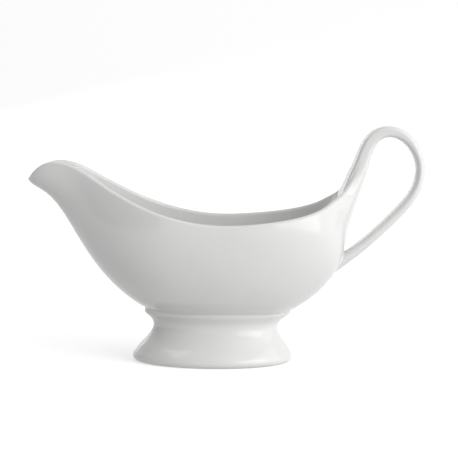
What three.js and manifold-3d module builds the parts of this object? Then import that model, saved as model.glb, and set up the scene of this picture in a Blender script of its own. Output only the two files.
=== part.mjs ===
// Pedestal gravy boat in white porcelain: a bowl that runs out into a spout, an oval hollow foot and
// a strap handle. Millimetres, +Z up, spout at -X, handle at +X, foot standing on z = 0.
// Three clay pieces luted together: bowl, pedestal_foot, handle.
import * as THREE from "three";
import { ParametricGeometry } from "three/addons/geometries/ParametricGeometry.js";
import { mergeVertices } from "three/addons/utils/BufferGeometryUtils.js";
import Module from "manifold-3d";

const GAP = 0.3; // slip joint between two clay pieces
const WALL_LIP = 2.6; // wall at the spout's lip
const WALL = 3.6; // wall of the bowl
const FLOOR = 4.2; // thickness of the bowl's bottom
const BELLY = 2.2; // roundness of the bowl's cross-section, 2 is an ellipse
const STRAP_ROUND = 2.6; // roundness of the handle's cross-section
const STEM_HEIGHT = 30.5; // where the stem meets the bowl
const STEM_LEAN = 3.0; // how far the top of the stem sits toward the handle
const STEM_BEND = 1.5; // the lean starts gently: it grows with this power of the height
const CAVITY_HEIGHT = 19.5; // hollow under the foot
const FOOT_RING = 3.4; // width of the flat ring the boat stands on

const wasm = await Module();
wasm.setup();

const v3 = (x, y, z) => new THREE.Vector3(x, y, z);
const curve = (points) => new THREE.CatmullRomCurve3(points.map((p) => v3(...p)));

// A list of values read at 0..1, with straight lines between them.
function along(values, t) {
  const s = THREE.MathUtils.clamp(t, 0, 1) * (values.length - 1);
  const i = Math.min(Math.floor(s), values.length - 2);
  return THREE.MathUtils.lerp(values[i], values[i + 1], s - i);
}

// sine and cosine of a rounded square instead of a circle
const soft = (value, power) => Math.sign(value) * Math.abs(value) ** (2 / power);

// Closed surface from a function of (u around, v along), without its zero-size triangles.
function closedSurface(pointAt, around, lengthwise) {
  const raw = new ParametricGeometry(pointAt, around, lengthwise);
  raw.deleteAttribute("normal");
  raw.deleteAttribute("uv");
  const merged = mergeVertices(raw, 1e-3);
  const corner = merged.index.array;
  const kept = [];
  for (let i = 0; i < corner.length; i += 3) {
    const [a, b, c] = corner.slice(i, i + 3);
    if (a !== b && b !== c && c !== a) kept.push(a, b, c);
  }
  merged.setIndex(kept);
  return merged;
}

function solid(geometry) {
  const body = new wasm.Manifold(
    new wasm.Mesh({
      numProp: 3,
      vertProperties: new Float32Array(geometry.attributes.position.array),
      triVerts: new Uint32Array(geometry.index.array),
    }),
  );
  if (body.volume() < 0) throw new Error("surface is inside out");
  return body;
}

function geometryOf(body) {
  const mesh = body.getMesh();
  const geometry = new THREE.BufferGeometry();
  geometry.setAttribute("position", new THREE.BufferAttribute(mesh.vertProperties, 3));
  geometry.setIndex(new THREE.BufferAttribute(mesh.triVerts, 1));
  return geometry;
}

// ---- bowl ----------------------------------------------------------------------------------
// The hull is drawn like a boat: a keel line underneath and a rim line at its edge, read together
// from the tip of the spout to the tongue at the rear where the handle starts.
const keel = curve([
  [-110.3, 0, 105.9], [-107.8, 0, 104.2], [-102.8, 0, 101.6], [-98.2, 0, 98.2],
  [-94.0, 0, 93.6], [-89.8, 0, 88.3], [-84.9, 0, 80.3], [-79.4, 0, 71.5],
  [-72.5, 0, 61.2], [-64.5, 0, 51.0], [-53.4, 0, 41.2], [-40.3, 0, 31.6],
  [-24.0, 0, 25.8], [-4.0, 0, 23.8], [16.0, 0, 24.2], [34.0, 0, 26.8],
  [48.0, 0, 31.6], [60.0, 0, 40.0], [70.2, 0, 50.6], [76.6, 0, 62.0],
  [79.0, 0, 74.0], [81.2, 0, 84.6], [83.9, 0, 94.0], [86.6, 0, 102.4],
  [89.0, 0, 109.8],
]);
const rim = curve([
  [-110.3, 0, 105.9], [-109.4, 4.8, 108.7], [-105.6, 9.2, 112.4], [-99.9, 12.4, 116.3],
  [-93.0, 14.3, 117.3], [-86.0, 16.3, 116.2], [-77.0, 19.9, 112.2], [-66.0, 26.2, 105.8],
  [-53.0, 35.2, 98.8], [-40.0, 41.8, 92.7], [-27.0, 45.3, 88.1], [-14.0, 47.0, 85.0],
  [-2.0, 47.8, 83.5], [9.0, 47.8, 83.2], [20.0, 47.0, 83.7], [31.0, 45.4, 84.7],
  [41.0, 43.0, 86.1], [50.0, 39.8, 87.8], [58.0, 35.6, 90.1], [64.8, 30.2, 92.9],
  [70.4, 23.8, 96.4], [75.0, 17.8, 100.8], [77.8, 14.4, 105.0], [79.5, 12.2, 109.0],
  [81.3, 10.6, 113.1],
]);
const wallAtRim = [WALL_LIP, 3.0, 3.4, WALL, WALL, WALL, WALL, WALL, 3.8];
const wallAtKeel = [
  WALL_LIP, 3.2, 3.6, 4.0, FLOOR, FLOOR, FLOOR, 4.0, 3.8, 3.8, 3.8, 4.4, 8.4,
];

// In-plane direction of a line at t, and the direction square to it, on the inside.
function inwardOf(line, t) {
  const a = line.getPoint(Math.max(t - 0.02, 0));
  const b = line.getPoint(Math.min(t + 0.02, 1));
  const step = b.sub(a).setY(0).normalize();
  return v3(-step.z, 0, step.x);
}

// Keel point, rim point and inner partners of both for the section at t.
function station(t, grow = 0) {
  const keelIn = inwardOf(keel, t);
  const low = keel.getPoint(t).addScaledVector(keelIn, -grow);
  const edge = rim.getPoint(t);
  const up = inwardOf(rim, t);
  const tangent = t === 0 ? v3(0, 1, 0) : rim.getTangent(t);
  const across = tangent.clone().cross(up).normalize();
  const crest = across.clone().cross(tangent).normalize();
  edge.addScaledVector(across, -grow);
  const edgeInside = edge.clone().addScaledVector(across, along(wallAtRim, t));
  const lowInside = low.clone().addScaledVector(keelIn, along(wallAtKeel, t));
  const meet = THREE.MathUtils.smoothstep(t, 0, 0.06);
  lowInside.lerpVectors(edgeInside.clone().setY(0), lowInside, meet);
  return { low, edge, lowInside, edgeInside, crest };
}

// Point on a section between a keel point and a rim point; angle -90..90 degrees, side to side.
function onSection(low, edge, angle, target) {
  const depth = soft(Math.max(Math.cos(angle), 0), BELLY);
  target.set(edge.x, 0, edge.z).lerp(low, depth);
  target.y = edge.y * soft(Math.sin(angle), BELLY);
  return target;
}

const SECTION_SIDE = 22; // steps over the outside, and again over the inside
const LIP_STEPS = 3; // steps over each rounded lip
const SECTION_STEPS = 2 * SECTION_SIDE + 2 * LIP_STEPS;
const HULL_STEPS = 54;

// The rounded lip over the wall, from the outer rim point to the inner one.
function onLip({ edge, edgeInside, crest }, turn, target) {
  const half = edgeInside.clone().sub(edge).multiplyScalar(0.5);
  target.copy(edge).addScaledVector(half, 1 - Math.cos(turn));
  return target.addScaledVector(crest, half.length() * Math.sin(turn));
}

function bowlPoint(u, v, target) {
  const t = Math.min((v * HULL_STEPS) / (HULL_STEPS - 1), 1);
  const here = station(t);
  const { low, edge, lowInside, edgeInside } = here;
  if (v === 1) return target.copy(low).add(lowInside).multiplyScalar(0.5);
  const step = (Math.round(u * SECTION_STEPS) + SECTION_STEPS) % SECTION_STEPS;
  if (step <= SECTION_SIDE) {
    return onSection(low, edge, (step / SECTION_SIDE - 0.5) * Math.PI, target);
  }
  if (step < SECTION_SIDE + LIP_STEPS) {
    const turn = ((step - SECTION_SIDE) / LIP_STEPS) * Math.PI;
    return onLip(here, turn, target);
  }
  if (step <= 2 * SECTION_SIDE + LIP_STEPS) {
    const back = (step - SECTION_SIDE - LIP_STEPS) / SECTION_SIDE;
    return onSection(lowInside, edgeInside, (0.5 - back) * Math.PI, target);
  }
  const turn = ((SECTION_STEPS - step) / LIP_STEPS) * Math.PI;
  onLip(here, turn, target);
  target.y *= -1;
  return target;
}

// The hull filled up to its rim and grown a little, to cut its neighbours back to a joint.
function hullPoint(u, v, target) {
  const t = Math.min((v * HULL_STEPS) / (HULL_STEPS - 1), 1);
  const { low, edge } = station(t, GAP);
  if (v === 1) return target.copy(low).lerp(edge.clone().setY(0), 0.5);
  const step = Math.round(u * (SECTION_SIDE + 1)) % (SECTION_SIDE + 1);
  return onSection(low, edge, (step / SECTION_SIDE - 0.5) * Math.PI, target);
}

const bowl = solid(closedSurface(bowlPoint, SECTION_STEPS, HULL_STEPS));
const hull = solid(closedSurface(hullPoint, SECTION_SIDE + 1, HULL_STEPS));

// ---- pedestal foot -------------------------------------------------------------------------
// Ovals stacked up the stem: height, half length, half width.
const stem = curve([
  [0, 44.6, 30.0], [0.5, 46.2, 31.4], [1.6, 47.5, 32.6], [3.2, 47.9, 33.0],
  [5.2, 47.1, 32.3], [8.0, 45.3, 30.4], [11.2, 42.8, 27.8], [14.2, 40.3, 25.2],
  [17.4, 38.3, 22.8], [20.6, 37.3, 21.5], [23.4, 37.7, 21.6], [25.8, 39.6, 22.7],
  [27.6, 41.8, 24.0], [29.0, 43.4, 24.9], [STEM_HEIGHT, 43.9, 25.2], [34.0, 43.9, 25.2],
]);
const cavity = curve([
  [-1, 44.6 - FOOT_RING, 30.0 - FOOT_RING], [0.6, 40.8, 26.2], [3.0, 40.0, 25.4],
  [8.0, 37.0, 22.3], [12.5, 33.4, 18.6], [16.0, 29.6, 15.0], [18.4, 24.0, 11.0],
  [CAVITY_HEIGHT, 14.0, 6.0],
]);

function ovals(profile, around, upward) {
  const stack = (u, v, target) => {
    const level = THREE.MathUtils.clamp((v * upward - 1) / (upward - 2), 0, 1);
    const { x: height, y: halfLength, z: halfWidth } = profile.getPoint(level);
    const size = v === 0 || v === 1 ? 0 : 1;
    const angle = 2 * Math.PI * (u === 1 ? 0 : u);
    const lean = STEM_LEAN * (Math.max(height, 0) / STEM_HEIGHT) ** STEM_BEND;
    target.set(
      lean + size * halfLength * Math.cos(angle),
      size * halfWidth * Math.sin(angle),
      height,
    );
  };
  return solid(closedSurface(stack, around, upward));
}

const foot = ovals(stem, 56, 30).subtract(ovals(cavity, 48, 14)).subtract(hull);

// ---- strap handle --------------------------------------------------------------------------
// Middle line of the strap, from the tongue of the bowl round the loop to the rear of the bowl.
const strapLine = curve([
  [84.5, 0, 112.1], [86.4, 0, 116.5], [88.3, 0, 122.4], [90.9, 0, 129.2],
  [95.1, 0, 135.2], [100.4, 0, 138.0], [105.8, 0, 138.2], [111.5, 0, 136.1],
  [116.7, 0, 131.6], [120.4, 0, 125.6], [122.3, 0, 119.6], [122.5, 0, 113.8],
  [121.3, 0, 107.6], [118.7, 0, 101.7], [114.7, 0, 95.8], [109.5, 0, 89.9],
  [103.7, 0, 84.0], [97.7, 0, 78.3], [91.7, 0, 72.8], [85.6, 0, 67.7],
  [79.6, 0, 63.2], [72.6, 0, 58.6],
]);
const strapThick = [10.1, 8.6, 7.4, 6.6, 6.3, 5.4, 5.4, 6.1, 6.3, 6.3, 7.2, 10.4];
const strapWide = [21.2, 17.8, 15.4, 14.4, 13.8, 13.2, 12.6, 12.4, 12.4, 12.8, 13.4, 15.4];
const STRAP_STEPS = 44;

function strapPoint(u, v, target) {
  const t = THREE.MathUtils.clamp((v * STRAP_STEPS - 1) / (STRAP_STEPS - 2), 0, 1);
  strapLine.getPoint(t, target);
  if (v === 0 || v === 1) return target;
  const outward = inwardOf(strapLine, t);
  const angle = -2 * Math.PI * (u === 1 ? 0 : u);
  target.addScaledVector(outward, 0.5 * along(strapThick, t) * soft(Math.cos(angle), STRAP_ROUND));
  target.y = 0.5 * along(strapWide, t) * soft(Math.sin(angle), STRAP_ROUND);
  return target;
}

const handle = solid(closedSurface(strapPoint, 20, STRAP_STEPS)).subtract(hull);

// ---- assembly ------------------------------------------------------------------------------
const glaze = new THREE.MeshStandardMaterial({ color: 0xf1f1ee, roughness: 0.12, metalness: 0 });
const boat = new THREE.Group();

function place(name, geometry) {
  const mesh = new THREE.Mesh(geometry, glaze.clone());
  mesh.name = name;
  boat.add(mesh);
}

place("bowl", geometryOf(bowl));
place("pedestal_foot", geometryOf(foot));
place("handle", geometryOf(handle));

// The row's origin is under the middle of the outline, at the level the foot stands on.
const outline = new THREE.Box3().setFromObject(boat, true);
boat.position.set(-(outline.min.x + outline.max.x) / 2, 0, -outline.min.z);

export default boat;
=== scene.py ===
import math

import bpy
import numpy as np
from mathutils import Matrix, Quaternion, Vector
from mathutils.bvhtree import BVHTree


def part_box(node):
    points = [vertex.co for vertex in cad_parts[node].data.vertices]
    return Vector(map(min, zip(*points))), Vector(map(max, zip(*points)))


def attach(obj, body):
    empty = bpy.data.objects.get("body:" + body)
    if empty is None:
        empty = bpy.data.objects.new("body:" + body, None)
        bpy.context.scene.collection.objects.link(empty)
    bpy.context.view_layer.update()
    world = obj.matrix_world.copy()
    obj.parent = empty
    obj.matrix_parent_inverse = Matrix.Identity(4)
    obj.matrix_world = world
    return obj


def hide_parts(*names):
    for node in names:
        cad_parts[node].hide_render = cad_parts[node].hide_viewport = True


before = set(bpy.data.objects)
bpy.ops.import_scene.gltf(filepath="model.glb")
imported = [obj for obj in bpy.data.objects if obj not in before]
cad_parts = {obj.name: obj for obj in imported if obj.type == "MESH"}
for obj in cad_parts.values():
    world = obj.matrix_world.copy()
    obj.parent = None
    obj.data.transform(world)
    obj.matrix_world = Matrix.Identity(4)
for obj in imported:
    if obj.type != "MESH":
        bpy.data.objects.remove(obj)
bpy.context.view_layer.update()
MM = 0.001

# ---- measurements of the boat, millimetres ---------------------------------------------------
# keel (x, z) and rim (x, y, z), read together from the tip of the spout to the handle's root
KEEL = [
    (-110.3, 105.9), (-107.8, 104.2), (-102.8, 101.6), (-98.2, 98.2), (-94.0, 93.6),
    (-89.8, 88.3), (-84.9, 80.3), (-79.4, 71.5), (-72.5, 61.2), (-64.5, 51.0),
    (-53.4, 41.2), (-40.3, 31.6), (-24.0, 25.8), (-4.0, 23.8), (16.0, 24.2),
    (34.0, 26.8), (48.0, 31.6), (60.0, 40.0), (70.2, 50.6), (76.6, 62.0),
    (79.0, 74.0), (81.2, 84.6), (83.9, 94.0), (86.6, 102.4), (89.0, 109.8),
]
RIM = [
    (-110.3, 0.0, 105.9), (-109.4, 4.8, 108.7), (-105.6, 9.2, 112.4), (-99.9, 12.4, 116.3),
    (-93.0, 14.3, 117.3), (-86.0, 16.3, 116.2), (-77.0, 19.9, 112.2), (-66.0, 26.2, 105.8),
    (-53.0, 35.2, 98.8), (-40.0, 41.8, 92.7), (-27.0, 45.3, 88.1), (-14.0, 47.0, 85.0),
    (-2.0, 47.8, 83.5), (9.0, 47.8, 83.2), (20.0, 47.0, 83.7), (31.0, 45.4, 84.7),
    (41.0, 43.0, 86.1), (50.0, 39.8, 87.8), (58.0, 35.6, 90.1), (64.8, 30.2, 92.9),
    (70.4, 23.8, 96.4), (75.0, 17.8, 100.8), (77.8, 14.4, 105.0), (79.5, 12.2, 109.0),
    (81.3, 10.6, 113.1),
]
# middle line of the strap (x, z), round the loop and back into the rear of the bowl
STRAP = [
    (84.5, 112.1), (86.4, 116.5), (88.3, 122.4), (90.9, 129.2), (95.1, 135.2),
    (100.4, 138.0), (105.8, 138.2), (111.5, 136.1), (116.7, 131.6), (120.4, 125.6),
    (122.3, 119.6), (122.5, 113.8), (121.3, 107.6), (118.7, 101.7), (114.7, 95.8),
    (109.5, 89.9), (103.7, 84.0), (97.7, 78.3), (91.7, 72.8), (85.6, 67.7),
    (79.6, 63.2), (72.8, 58.4), (66.5, 53.2), (59.5, 49.5),
]
STRAP_THICK = [10.1, 8.6, 7.4, 6.6, 6.3, 5.4, 5.4, 6.1, 6.3, 6.3, 6.6, 7.6]
STRAP_WIDE = [21.2, 17.8, 15.4, 14.4, 13.8, 13.2, 12.6, 12.4, 12.4, 12.8, 13.4, 14.6]
WALL_AT_RIM = [2.6, 3.0, 3.4, 3.6, 3.6, 3.6, 3.6, 3.6, 3.8]
WALL_AT_KEEL = [2.6, 3.2, 3.6, 4.0, 4.2, 4.2, 4.2, 4.0, 3.8, 3.8, 3.8, 4.4, 8.0]
BELLY = 0.0157  # squareness of the bowl's sections, 0 is an ellipse
STRAP_SQUARE = 0.09  # the same for the strap where it rises from the rim; its far limb is rounder
ROOT_FLOOR = 12.0  # thickest the bowl's rear wall gets where it runs up into the handle
LIP_HEIGHT = 1.9  # crown of the strap's upper face above its edges
FILLET = 2.1  # at the lower end of the handle, where it meets the bowl
COLLAR_FILLET = 0.7  # where the foot meets the bowl
WELD_SINK = 0.12  # how far the edge of a fillet lies below the bowl's skin
RING_ROLL = 0.9  # rounding of the foot's ring, on its inner side
# foot (height, half length, half width), from the ring it stands on up to the bowl
STEM = [
    (0.0, 44.6, 30.0), (0.5, 46.2, 31.4), (1.6, 47.5, 32.6), (3.2, 47.9, 33.0),
    (5.2, 47.1, 32.3), (8.0, 45.3, 30.4), (11.2, 42.8, 27.8), (14.2, 40.3, 25.2),
    (17.4, 38.3, 22.8), (20.6, 37.3, 21.5), (23.4, 37.7, 21.6), (25.8, 39.6, 22.7),
    (27.6, 41.8, 24.0), (29.0, 43.4, 24.9), (30.5, 43.9, 25.2),
]
CAVITY = [
    (19.5, 4.0, 2.0), (19.3, 14.0, 6.2), (18.2, 24.0, 11.0), (16.0, 29.6, 15.0),
    (12.5, 33.4, 18.6), (8.0, 37.0, 22.3), (3.0, 40.0, 25.4), (0.9, 40.7, 26.1),
]
STEM_LEAN = 3.0  # how far the top of the stem sits toward the handle
STEM_BEND = 1.5  # the lean starts gently: it grows with this power of the height
BELLY_FAIRING = 9.0  # how stiff the lines of the bowl and the handle are
STEM_FAIRING = 0.9
CAVITY_FAIRING = 1.2
# stretches along the sweep over which something changes, from the joint of bowl and handle
FLOOR_THICKENS = (-60, -20)
SECTION_TURNS = (-33, 13)
# where the painted shade inside the bowl fades out
INSIDE_SHADE_ENDS = (-32, -14)
DIP_FADES = (-12, 30)
SQUARE_FADES = (30, 75)
WALL_THINS = (0, 25)

# ---- fineness of the meshes --------------------------------------------------------------------
HULL_ROWS = 190
STRAP_ROWS = 150
ROOT_ROWS = 220  # rows that the lower end of the strap is read at before it is led onto the bowl
SIDE = 60  # steps over the outside of a section, and over its inside
LIP = 8  # steps over each rounded lip
LOOP = 2 * SIDE + 2 * LIP
AROUND = 168  # steps round the foot
STEM_LEVELS = 74
CAVITY_LEVELS = 40
ROLL_STEPS = 6
RISE_STEPS = 60


# ---- fair curves -----------------------------------------------------------------------------
def fair(at, values, read_at, softness, mirror=None, trust=None):
    """Smooth line near the given points: least squares with a price on the third derivative."""
    at, values = np.asarray(at, float), np.asarray(values, float)
    trust = np.ones(len(at)) if trust is None else trust
    if mirror is not None:
        at = np.concatenate([-at[5:0:-1], at])
        values = np.concatenate([values[5:0:-1] * mirror, values])
        trust = np.concatenate([trust[5:0:-1], trust])
    spacing = (at[-1] - at[0]) / (len(at) - 1)
    grid = np.linspace(at[0], at[-1], 40 + 14 * len(at))
    step = grid[1] - grid[0]
    place = np.clip((at - at[0]) / step, 0, len(grid) - 1.000001)
    low = place.astype(int)
    pick = np.zeros((len(at), len(grid)))
    pick[np.arange(len(at)), low] = 1 - (place - low)
    pick[np.arange(len(at)), low + 1] = place - low
    bend = np.zeros((len(grid) - 3, len(grid)))
    for i, c in enumerate((-1, 3, -3, 1)):
        bend[np.arange(len(grid) - 3), np.arange(len(grid) - 3) + i] = c
    price = softness**6 / spacing / step**5
    weighed = pick.T * trust
    lines = np.linalg.solve(weighed @ pick + price * bend.T @ bend, weighed @ values)
    return np.stack([cubic(grid, lines[:, k], read_at) for k in range(values.shape[1])], 1)


def cubic(grid, line, read_at):
    """Smooth reading of evenly spaced values."""
    step = grid[1] - grid[0]
    place = np.clip((read_at - grid[0]) / step, 0, len(grid) - 1.000001)
    i = place.astype(int)
    f = place - i
    p = [line[np.clip(i + k, 0, len(line) - 1)] for k in (-1, 0, 1, 2)]
    a = -0.5 * p[0] + 1.5 * p[1] - 1.5 * p[2] + 0.5 * p[3]
    b = p[0] - 2.5 * p[1] + 2 * p[2] - 0.5 * p[3]
    c = 0.5 * (p[2] - p[0])
    return ((a * f + b) * f + c) * f + p[1]


def unit(v):
    return v / np.maximum(np.linalg.norm(v, axis=-1, keepdims=True), 1e-12)


def smoothstep(low, high, value):
    s = np.clip((value - low) / (high - low), 0, 1)
    return s * s * (3 - 2 * s)


def past_joint(stretch, at):
    """0 before a stretch given from the joint of bowl and handle, 1 after it."""
    return smoothstep(joint + stretch[0], joint + stretch[1], at)


def soft_least(value, most, corner=1.5):
    """The lesser of the two, with a rounded corner where they cross."""
    return 0.5 * (value + most - np.sqrt((value - most) ** 2 + corner**2))


def stem_lean(height):
    return STEM_LEAN * (height / STEM[-1][0]) ** STEM_BEND


def read(values, at):
    """Straight-line reading of a short list of values spread evenly over 0..1."""
    return np.interp(at, np.linspace(0, 1, len(values)), values)


# ---- bowl and handle: one sweep of closed sections --------------------------------------------
keel = np.array([(x, 0, z) for x, z in KEEL])
rim = np.array(RIM)
middle = np.array([(x, 0, z) for x, z in STRAP])
hull_last = len(keel) - 1

share = np.arange(len(middle)) / (len(middle) - 3)
thick = read(STRAP_THICK, share)
wide = read(STRAP_WIDE, share)
heading = unit(np.gradient(middle, axis=0))
inside = np.stack([heading[:, 2], np.zeros(len(middle)), -heading[:, 0]], 1)
strap_keel = middle + inside * thick[:, None] / 2
strap_rim = middle - inside * (thick[:, None] / 2 - LIP_HEIGHT)
strap_rim[:, 1] = wide / 2

keel_points = np.concatenate([keel, strap_keel[1:]])
rim_points = np.concatenate([rim, strap_rim[1:]])
chord = 0.5 * (
    np.linalg.norm(np.diff(keel_points, axis=0), axis=1)
    + np.linalg.norm(np.diff(rim_points, axis=0), axis=1)
)
knots = np.concatenate([[0], np.cumsum(chord)])
joint = knots[hull_last]
# the strap and both ends of the rim bend far more tightly than the belly
trust = np.interp(np.arange(len(knots)), [0, 4, 8, 14, 19, hull_last], [400, 60, 1, 1, 30, 900])

s = np.linspace(0, 1, HULL_ROWS + 1)
hull_at = joint * (0.35 * s**2 + 0.65 * s)  # closer together at the spout
strap_at = joint + (knots[-1] - joint) * np.linspace(0, 1, STRAP_ROWS + 1)[1:]
rows_at = np.concatenate([hull_at, strap_at])


def sections(at):
    """Keel point, rim point and their frame for each place along the sweep."""

    def keel_at(place):
        return fair(knots, keel_points[:, [0, 2]], place, BELLY_FAIRING, trust=trust)

    def rim_at(place):
        other_side = np.array([1, -1, 1])
        return fair(knots, rim_points, place, BELLY_FAIRING, mirror=other_side, trust=trust)

    nudge = 0.4
    k, k_ahead, k_behind = keel_at(at), keel_at(at + nudge), keel_at(at - nudge)
    r, ahead, behind = rim_at(at), rim_at(at + nudge), rim_at(at - nudge)
    low = np.stack([k[:, 0], 0 * at, k[:, 1]], 1)
    tip = r[at <= 1e-9]
    if len(tip):
        low += (tip[0] - low[0]) * np.array([1, 0, 1]) * np.exp(-at / 3.0)[:, None]
    step = unit(k_ahead - k_behind)
    keel_in = np.stack([-step[:, 1], 0 * at, step[:, 0]], 1)
    mid = r * np.array([1, 0, 1])
    down = low - mid
    first = np.linalg.norm(down, axis=1) < 1e-6
    down[first] = np.stack([step[first][:, 0], 0 * at[first], step[first][:, 1]], 1)
    down = unit(down)
    along = unit(ahead - behind)
    out = unit(np.cross(along, down))
    sideways = np.stack([0 * at, 0 * at + 1, -0.2 * np.exp(-at)], 1)
    out *= np.sign((out * sideways).sum(1) + 1e-9)[:, None]
    crest = unit(np.cross(out, along))
    crest *= np.sign((crest * -down).sum(1))[:, None]
    return low, r, keel_in, out, crest


def squared(angle, square):
    """Cosine and sine of a slightly squared circle."""
    c = (np.cos(angle) - square * np.cos(3 * angle)) / (1 - square)
    s = (np.sin(angle) + square * np.sin(3 * angle)) / (1 - square)
    return c, s


def sweep(at):
    """Grid of points, rows by loop, of the bowl and the strap at the given places."""
    low, edge, keel_in, out, crest = sections(at)
    along_hull = np.clip(at / joint, 0, 1)
    wall = read(WALL_AT_RIM, along_hull)[:, None]
    wall = wall - past_joint(WALL_THINS, at)[:, None]
    floor = read(WALL_AT_KEEL, along_hull)[:, None]
    edge_in = edge - wall * out
    flat = np.array([1, 0, 1])
    # toward the handle the rear wall thickens until only a shallow dip is left of the bowl
    height = ((edge + edge_in) / 2 + crest * wall / 2 - low) * flat
    dip = 1.2 - 0.9 * past_joint(DIP_FADES, at)[:, None]
    shallow = soft_least(np.linalg.norm(height, axis=1)[:, None] - dip, ROOT_FLOOR)
    floor += (shallow - floor) * past_joint(FLOOR_THICKENS, at)[:, None]
    low_in = low + floor * keel_in
    grid = np.zeros((len(at), LOOP, 3))

    def section(bottom, side, angle, square):
        depth, reach = squared(angle, square)
        mid = side * flat
        points = mid[:, None] + (bottom - mid)[:, None] * depth[None, :, None]
        points[:, :, 1] = side[:, 1:2] * reach[None, :]
        return points

    outer_angle = np.linspace(-math.pi / 2, math.pi / 2, SIDE + 1)
    grid[:, : SIDE + 1] = section(low, edge, outer_angle, BELLY)
    grid[:, SIDE + LIP : LOOP - LIP + 1] = section(low_in, edge_in, -outer_angle, BELLY)
    for n in range(1, LIP):
        turn = math.pi * n / LIP
        point = (edge + edge_in) / 2 + (edge - edge_in) / 2 * math.cos(turn)
        point = point + crest * wall / 2 * math.sin(turn)
        grid[:, SIDE + n] = point
        grid[:, (LOOP - n) % LOOP] = point * np.array([1, -1, 1])

    # the strap's own rounded section, and how far each row has turned into it
    top = (edge + crest * LIP_HEIGHT) * flat
    centre, half = (low + top) / 2, (low - top) / 2
    angle = np.concatenate([
        outer_angle, np.linspace(math.pi / 2, 1.5 * math.pi, LOOP - SIDE + 1)[1:-1]
    ])
    square = STRAP_SQUARE * (1 - past_joint(SQUARE_FADES, at))
    c, s = squared(angle, square[:, None])
    strap = centre[:, None] + half[:, None] * c[:, :, None]
    strap[:, :, 1] = edge[:, 1:2] * s
    turned = past_joint(SECTION_TURNS, at)[:, None, None]
    return grid * (1 - turned) + strap * turned


# ---- meshes -----------------------------------------------------------------------------------
def grid_normals(grid):
    """Normals of a grid of rows by closed loop, from its neighbours."""
    across = np.roll(grid, -1, 1) - np.roll(grid, 1, 1)
    along = np.gradient(grid, axis=0)
    return unit(np.cross(across, along))


def make_mesh(name, points, faces, normals=None, inner=None):
    """Object from points in millimetres; points in one place are merged, flat faces dropped."""
    key = np.round(points / 1e-4).astype(np.int64)
    _, first, back = np.unique(key, axis=0, return_index=True, return_inverse=True)
    back = back.reshape(-1)
    kept = []
    for face in faces:
        corners = []
        for v in back[list(face)]:
            if v not in corners:
                corners.append(int(v))
        if len(corners) > 2:
            kept.append(corners)
    merged_points = points[first]
    volume = 0.0
    for face in kept:
        corners = merged_points[face]
        volume += np.dot(corners[0], np.cross(corners[1:-1], corners[2:]).sum(0))
    if volume < 0:
        kept = [face[::-1] for face in kept]
    mesh = bpy.data.meshes.new(name)
    mesh.from_pydata((merged_points * MM + SHIFT).tolist(), [], kept)
    mesh.validate()
    mesh.polygons.foreach_set("use_smooth", [True] * len(mesh.polygons))
    if inner is not None:
        # share of the painted shade inside the bowl, read by the material
        share_inside = mesh.attributes.new("inner", "FLOAT", "POINT")
        share_inside.data.foreach_set("value", inner[first].astype(np.float32))
    piece = bpy.data.objects.new(name, mesh)
    bpy.context.collection.objects.link(piece)
    if normals is not None:
        merged = np.zeros((len(first), 3))
        np.add.at(merged, back, normals)
        plain = np.array([v.vector for v in mesh.vertex_normals])
        facing_in = (merged * plain).sum() < 0
        facing_out = unit(merged) * (-1 if facing_in else 1)
        mesh.normals_split_custom_set_from_vertices(facing_out.tolist())
    return piece


def loop_faces(rows, loop):
    """Quads between neighbouring rows of closed loops."""
    faces = []
    for i in range(rows - 1):
        for j in range(loop):
            k = (j + 1) % loop
            a, b = i * loop, (i + 1) * loop
            faces.append((a + j, b + j, b + k, a + k))
    return faces


def fan(centre, ring, flip):
    """Triangles from a ring of point numbers to one in the middle."""
    pairs = zip(ring, ring[1:] + ring[:1])
    return [(a, centre, b) if flip else (b, centre, a) for a, b in pairs]


grid = sweep(rows_at)
foot_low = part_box("pedestal_foot")[0][0] / MM
widest = max(STEM, key=lambda level: level[1])
SHIFT = np.array([(foot_low + widest[1] - stem_lean(widest[0])) * MM, 0, 0])
normals = grid_normals(grid)
if normals[HULL_ROWS // 2, SIDE // 2][2] > 0:
    normals = -normals
normals[0] = normals[1]

bowl_grid = grid[: HULL_ROWS + 1]
bowl_normals = normals[: HULL_ROWS + 1]
cap = bowl_grid[-1].mean(0)
points = np.concatenate([bowl_grid.reshape(-1, 3), [cap]])
faces = loop_faces(HULL_ROWS + 1, LOOP)
ring = [HULL_ROWS * LOOP + j for j in range(LOOP)]
faces += fan(len(points) - 1, ring, True)
vertex_normals = np.concatenate([bowl_normals.reshape(-1, 3), [[0, 0, 1]]])
# 1 inside the bowl, 0 outside, for the painted shade that darkens the inside; it fades where the inside
# opens onto the handle
across = np.zeros(LOOP)
across[SIDE : LOOP - LIP + 1] = np.clip(np.arange(LOOP - LIP + 1 - SIDE) / LIP, 0, 1)
across[LOOP - LIP :] = np.arange(LIP, 0, -1) / LIP
inner = (1 - past_joint(INSIDE_SHADE_ENDS, hull_at))[:, None] * across[None, :]
bowl = make_mesh("bowl_glazed", points, faces, vertex_normals, np.append(inner.reshape(-1), 0))

# ---- handle: the rest of the sweep, flared onto the rear of the bowl ---------------------------
outer_rows = bowl_grid[:, : SIDE + 1]
outer_points = [Vector(p) for p in outer_rows.reshape(-1, 3)]
outer_faces = []
for i in range(HULL_ROWS):
    for j in range(SIDE):
        a = i * (SIDE + 1) + j
        outer_faces.append((a, a + SIDE + 1, a + SIDE + 2, a + 1))
hull_tree = BVHTree.FromPolygons(outer_points, outer_faces)
outer_normals = bowl_normals[:, : SIDE + 1].reshape(-1, 3)


def from_hull(point):
    """Distance of a point outside the bowl's outer skin, and the skin's normal there."""
    spot, _, face, gap = hull_tree.find_nearest(Vector(point))
    corners = outer_faces[face]
    weight = np.array([1 / (1e-6 + (outer_points[c] - spot).length_squared) for c in corners])
    normal = unit((outer_normals[list(corners)] * weight[:, None]).sum(0))
    side = np.dot(np.array(point) - np.array(spot), normal)
    return math.copysign(gap, side), normal


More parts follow.
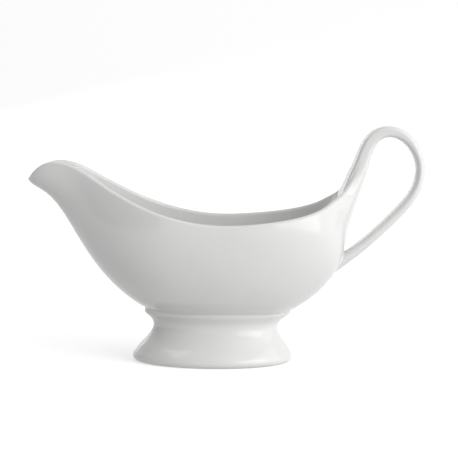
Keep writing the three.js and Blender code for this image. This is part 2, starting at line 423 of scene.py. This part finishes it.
def weld(lines, reach, lead, turn):
    """Leads lines of points onto the bowl and turns them outward along its skin.

    reach is how far before and after the bowl's skin the turn starts and ends, lead and turn are
    the rows on the straight and on the turn."""
    lines = np.asarray(lines)
    meets, starts, leads = [], [], []
    for line in lines:
        gaps = np.array([from_hull(p)[0] for p in line])
        hit = max(int(np.argmax(gaps < 0)), 1)
        part = gaps[hit - 1] / (gaps[hit - 1] - gaps[hit])
        run = np.concatenate([[0], np.cumsum(np.linalg.norm(np.diff(line, axis=0), axis=1))])
        end = run[hit - 1] + part * (run[hit] - run[hit - 1])

        def spot(length):
            return np.array([np.interp(length, run, line[:, k]) for k in range(3)])

        meets.append(spot(end))
        starts.append(spot(end - reach))
        leads.append([spot((end - reach) * n / lead) for n in range(lead + 1)])
    meets, starts = np.array(meets), np.array(starts)
    around = np.roll(meets, -1, 0) - np.roll(meets, 1, 0)
    skin = np.array([from_hull(p)[1] for p in meets])
    outward = unit(np.cross(around, skin))
    if (outward * (meets - meets.mean(0))).sum() < 0:
        outward = -outward
    for _ in range(3):
        outward = unit(np.roll(outward, 1, 0) + 2 * outward + np.roll(outward, -1, 0))
    ends = []
    for p in meets + outward * reach:
        gap, normal = from_hull(p)
        ends.append(p - normal * (gap + WELD_SINK))
    ends = np.array(ends)
    bend = [
        starts * (1 - t) ** 2 + meets * 2 * t * (1 - t) + ends * t * t
        for t in np.linspace(0, 1, turn + 1)[1:]
    ]
    return np.concatenate([np.array(leads).transpose(1, 0, 2), bend])


strap_grid = grid[HULL_ROWS:]
nearest = np.array([min(from_hull(p)[0] for p in row[::4]) for row in strap_grid])
half_way = STRAP_ROWS // 2
last_free = half_way + int(np.argmax(nearest[half_way:] < FILLET + 2.0)) - 1
fine = sweep(np.linspace(strap_at[last_free - 1], knots[-1], ROOT_ROWS))
root = weld(fine.transpose(1, 0, 2), FILLET, 14, 10)
handle_grid = np.concatenate([strap_grid[:last_free], root])
handle_normals = grid_normals(handle_grid)
handle_normals[0] = normals[HULL_ROWS]
handle_normals[-1] = [from_hull(p)[1] for p in handle_grid[-1]]
if (handle_normals[last_free // 2] * normals[HULL_ROWS + last_free // 2]).sum() < 0:
    handle_normals[1:-1] *= -1
rows = len(handle_grid)
points = np.concatenate([
    handle_grid.reshape(-1, 3), [handle_grid[0].mean(0)], [handle_grid[-1].mean(0) - [2.0, 0, 0]]
])
faces = loop_faces(rows, LOOP)
faces += fan(rows * LOOP, list(range(LOOP)), False)
faces += fan(rows * LOOP + 1, [(rows - 1) * LOOP + j for j in range(LOOP)], True)
vertex_normals = np.concatenate([handle_normals.reshape(-1, 3), [[0, 0, -1], [-1, 0, 0]]])
handle = make_mesh("handle_glazed", points, faces, vertex_normals)

# ---- foot -------------------------------------------------------------------------------------
turns = np.linspace(0, 2 * math.pi, AROUND, endpoint=False)


def oval(levels):
    """Grid of ovals for a list of (height, half length, half width)."""
    height, length, width = (levels[:, k, None] for k in range(3))
    x = stem_lean(height) + length * np.cos(turns)
    return np.stack([x, width * np.sin(turns), height + 0 * x], 2)


def chord_knots(values):
    return np.concatenate([[0], np.cumsum(np.linalg.norm(np.diff(values, axis=0), axis=1))])


stem = np.array(STEM)
at = chord_knots(stem)
stem_levels = fair(at, stem, np.linspace(0, at[-1], STEM_LEVELS), STEM_FAIRING)
stem_levels[:, 0] -= stem_levels[0, 0]
hollow = np.array(CAVITY)
at = chord_knots(hollow)
hollow_levels = fair(at, hollow, np.linspace(0, at[-1], CAVITY_LEVELS), CAVITY_FAIRING)
inner_edge = hollow_levels[-1]
roll = []
for n in range(1, ROLL_STEPS):
    turn = 0.5 * math.pi * n / (ROLL_STEPS - 1)
    drop = inner_edge[0] * (1 - math.sin(turn))
    out = RING_ROLL * (1 - math.cos(turn))
    roll.append((drop, inner_edge[1] + out, inner_edge[2] + out))
foot_levels = np.concatenate([hollow_levels, roll, stem_levels])
foot_grid = oval(foot_levels)
top = stem_levels[-1]
rising = np.repeat(top[None, :], RISE_STEPS, 0)
rising[:, 0] = np.linspace(top[0], top[0] + 6, RISE_STEPS)
collar = weld(oval(rising).transpose(1, 0, 2), COLLAR_FILLET, 1, 7)
foot_grid = np.concatenate([foot_grid, collar[1:]])
rows = len(foot_grid)
points = np.concatenate([
    foot_grid.reshape(-1, 3), [foot_grid[0].mean(0)], [[1.5, 0, 24.3]]
])
faces = loop_faces(rows, AROUND)
faces += fan(rows * AROUND, list(range(AROUND)), False)
faces += fan(rows * AROUND + 1, [(rows - 1) * AROUND + j for j in range(AROUND)], True)
foot = make_mesh("foot_glazed", points, faces)

# ---- materials --------------------------------------------------------------------------------
class Nodes:
    """Short names for the shader nodes that the glaze is made of."""

    def __init__(self, material):
        self.tree = material.node_tree
        self.place = self.tree.nodes.new("ShaderNodeTexCoord").outputs["Object"]

    def make(self, kind, **inputs):
        node = self.tree.nodes.new(kind)
        for socket, value in inputs.items():
            self.put(value, node.inputs[socket.replace("_", " ")])
        return node

    def put(self, value, socket):
        if isinstance(value, bpy.types.NodeSocket):
            self.tree.links.new(value, socket)
        else:
            socket.default_value = value

    def noise(self, scale, detail=2.0, roughness=0.5):
        node = self.make("ShaderNodeTexNoise", Vector=self.place, Scale=scale)
        self.put(detail, node.inputs["Detail"])
        self.put(roughness, node.inputs["Roughness"])
        return node.outputs["Fac"]

    def span(self, value, low, high, to_low, to_high):
        node = self.make(
            "ShaderNodeMapRange", Value=value, From_Min=low, From_Max=high, To_Min=to_low, To_Max=to_high
        )
        return node.outputs["Result"]

    def math(self, operation, a, b):
        node = self.tree.nodes.new("ShaderNodeMath")
        node.operation = operation
        self.put(a, node.inputs[0])
        self.put(b, node.inputs[1])
        return node.outputs["Value"]

    def mix(self, share, a, b):
        node = self.make("ShaderNodeMix")
        node.data_type = "RGBA"
        for socket, value in (("Factor", share), ("A", a), ("B", b)):
            self.put(value, node.inputs[socket])
        return node.outputs["Result"]


def porcelain(name, bare_below=None):
    """White glaze over porcelain; below the given height, in metres, the clay is wiped bare."""
    material = bpy.data.materials.new(name)
    material.use_nodes = True
    n = Nodes(material)
    shader = material.node_tree.nodes["Principled BSDF"]
    shader.inputs["IOR"].default_value = 1.52

    # in hollows the colour is darker and cooler: painted shade in the creases, along with the glaze that
    # pools a little thicker there; over edges it is lighter: a painted highlight, along with the glaze
    # that thins there
    cloud = n.span(n.noise(24, 3), 0.35, 0.65, 0, 1)
    glaze = n.mix(cloud, (0.742, 0.742, 0.735, 1), (0.768, 0.768, 0.762, 1))
    shape = n.make("ShaderNodeNewGeometry").outputs["Pointiness"]
    glaze = n.mix(n.span(shape, 0.48, 0.42, 0, 1), glaze, (0.690, 0.703, 0.696, 1))
    glaze = n.mix(n.span(shape, 0.53, 0.62, 0, 1), glaze, (0.800, 0.790, 0.770, 1))
    # inside the bowl the colour is darkened: painted shade
    inside = n.tree.nodes.new("ShaderNodeAttribute")
    inside.attribute_name = "inner"
    glaze = n.mix(n.math("MULTIPLY", inside.outputs["Fac"], 0.5), glaze, (0.655, 0.662, 0.645, 1))
    # a few specks of iron and ash, as any fired porcelain has
    speck = n.make("ShaderNodeTexVoronoi", Vector=n.place, Scale=75.0)
    picked = n.make("ShaderNodeSeparateColor", Color=speck.outputs["Color"]).outputs["Red"]
    dot = n.math("LESS_THAN", speck.outputs["Distance"], 0.014)
    dot = n.math("MULTIPLY", dot, n.math("GREATER_THAN", picked, 0.93))
    glaze = n.mix(n.math("MULTIPLY", dot, 0.35), glaze, (0.42, 0.38, 0.31, 1))
    shine = n.span(n.noise(90, 5), 0.3, 0.7, 0.075, 0.135)

    # slow waves where the glaze ran, fine orange peel, and pinholes
    waves = n.math("MULTIPLY", n.noise(60, 1), 0.00006)
    peel = n.math("MULTIPLY", n.noise(520, 2), 0.0000035)
    hole = n.make("ShaderNodeTexVoronoi", Vector=n.place, Scale=140.0)
    chosen = n.make("ShaderNodeSeparateColor", Color=hole.outputs["Color"]).outputs["Green"]
    pit = n.span(hole.outputs["Distance"], 0.0, 0.045, 1, 0)
    pit = n.math("MULTIPLY", pit, n.math("GREATER_THAN", chosen, 0.96))
    relief = n.math("SUBTRACT", n.math("ADD", waves, peel), n.math("MULTIPLY", pit, 0.00004))

    if bare_below is not None:
        height = n.make("ShaderNodeSeparateXYZ", Vector=n.place).outputs["Z"]
        ragged = n.math("MULTIPLY", n.math("SUBTRACT", n.noise(260, 3), 0.5), 0.0006)
        edge = n.math("ADD", height, ragged)
        bare = n.span(edge, bare_below + 0.00006, bare_below - 0.00006, 0, 1)
        grit = n.noise(2600, 4, 0.7)
        clay = n.mix(n.span(grit, 0.35, 0.7, 0, 1), (0.66, 0.64, 0.60, 1), (0.78, 0.765, 0.73, 1))
        glaze = n.mix(bare, glaze, clay)
        shine = n.math("MAXIMUM", shine, n.math("MULTIPLY", bare, 0.78))
        bead = n.math("MULTIPLY", n.math("SUBTRACT", 1.0, bare), 0.00009)
        grain = n.math("MULTIPLY", n.math("MULTIPLY", grit, bare), 0.00008)
        relief = n.math("ADD", relief, n.math("ADD", bead, grain))

    n.put(glaze, shader.inputs["Base Color"])
    n.put(shine, shader.inputs["Roughness"])
    bump = n.make("ShaderNodeBump", Height=relief, Strength=0.6, Distance=1.0)
    n.put(bump.outputs["Normal"], shader.inputs["Normal"])
    return material


glaze = porcelain("white_glaze")
foot_glaze = porcelain("white_glaze_wiped_ring", bare_below=0.0007)

for piece, node, slot, material in (
    (bowl, "bowl", "glazed_bowl", glaze),
    (handle, "handle", "glazed_handle", glaze),
    (foot, "pedestal_foot", "glazed_foot", foot_glaze),
):
    piece.data.materials.append(material)
    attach(piece, "root")
    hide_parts(node)

# ---- floor, light and camera --------------------------------------------------------------------
# pale sheet that lies under the boat and curves up behind it
profile = [(-3.0, 0.0), (0.9, 0.0)]
profile += [
    (0.9 + 0.8 * math.sin(math.radians(a)), 0.8 - 0.8 * math.cos(math.radians(a))) for a in range(6, 91, 6)
]
profile += [(1.7, 2.6)]
verts = [(x, y, z) for y, z in profile for x in (-3.0, 3.0)]
quads = [(2 * i, 2 * i + 1, 2 * i + 3, 2 * i + 2) for i in range(len(profile) - 1)]
floor_mesh = bpy.data.meshes.new("floor")
floor_mesh.from_pydata(verts, [], quads)
floor_mesh.polygons.foreach_set("use_smooth", [True] * len(quads))
floor = bpy.data.objects.new("floor", floor_mesh)
bpy.context.collection.objects.link(floor)
paper = bpy.data.materials.new("paper")
paper.use_nodes = True
sheet = paper.node_tree.nodes["Principled BSDF"]
sheet.inputs["Base Color"].default_value = (0.9, 0.9, 0.9, 1)
sheet.inputs["Roughness"].default_value = 0.9
sheet.inputs["Emission Color"].default_value = (1, 1, 1, 1)
sheet.inputs["Emission Strength"].default_value = 0.38
floor_mesh.materials.append(paper)
floor.visible_diffuse = False  # the sheet's own light doesn't wash out the underside


LIGHT_TARGET = Vector((0, 0, 0.08))
LIGHT_DISTANCE = 1.3


def softbox(name, around, up, size, power):
    """Square light; around and up are degrees from the camera's side and from the table."""
    light = bpy.data.lights.new(name, "AREA")
    light.shape = "SQUARE"
    light.size = size
    light.energy = power
    a, e = math.radians(around), math.radians(up)
    lamp = bpy.data.objects.new(name, light)
    away = Vector((math.sin(a) * math.cos(e), -math.cos(a) * math.cos(e), math.sin(e)))
    lamp.location = LIGHT_TARGET + away * LIGHT_DISTANCE
    lamp.rotation_mode = "QUATERNION"
    lamp.rotation_quaternion = (LIGHT_TARGET - lamp.location).to_track_quat("-Z", "Y")
    lamp.visible_camera = False
    bpy.context.collection.objects.link(lamp)


softbox("key_right", 72, 18, 1.3, 5.0)
softbox("key_front", 48, 18, 1.0, 6.8)
softbox("fill_low", 348, 6, 0.6, 0.8)
softbox("rim_left", 205, 22, 0.7, 1.5)
softbox("top_left", 290, 62, 0.6, 1.5)

world = bpy.data.worlds.new("studio")
world.use_nodes = True
background = world.node_tree.nodes["Background"]
background.inputs["Color"].default_value = (1, 1, 1, 1)
# the room is brighter on the handle's side than on the spout's
side = world.node_tree.nodes.new("ShaderNodeTexCoord")
axes = world.node_tree.nodes.new("ShaderNodeSeparateXYZ")
level = world.node_tree.nodes.new("ShaderNodeMapRange")
for socket, number in (("From Min", -1), ("From Max", 1), ("To Min", 0.37), ("To Max", 0.71)):
    level.inputs[socket].default_value = number
world.node_tree.links.new(side.outputs["Generated"], axes.inputs["Vector"])
world.node_tree.links.new(axes.outputs["X"], level.inputs["Value"])
world.node_tree.links.new(level.outputs["Result"], background.inputs["Strength"])
bpy.context.scene.world = world
bpy.context.scene.view_settings.view_transform = "Standard"

camera_data = bpy.data.cameras.new("camera")
camera_data.lens = 112.2
camera_data.sensor_width = 36
camera = bpy.data.objects.new("camera", camera_data)
bpy.context.collection.objects.link(camera)
camera.location = Vector((0.0022, -0.85, 0.1542))
look = Vector((0.0022, 0, 0.0792)) - camera.location
tilt = 0.0115  # a little over half a degree, about the line of sight
camera.rotation_mode = "QUATERNION"
camera.rotation_quaternion = look.to_track_quat("-Z", "Y") @ Quaternion((0, 0, 1), tilt)
bpy.context.scene.camera = camera
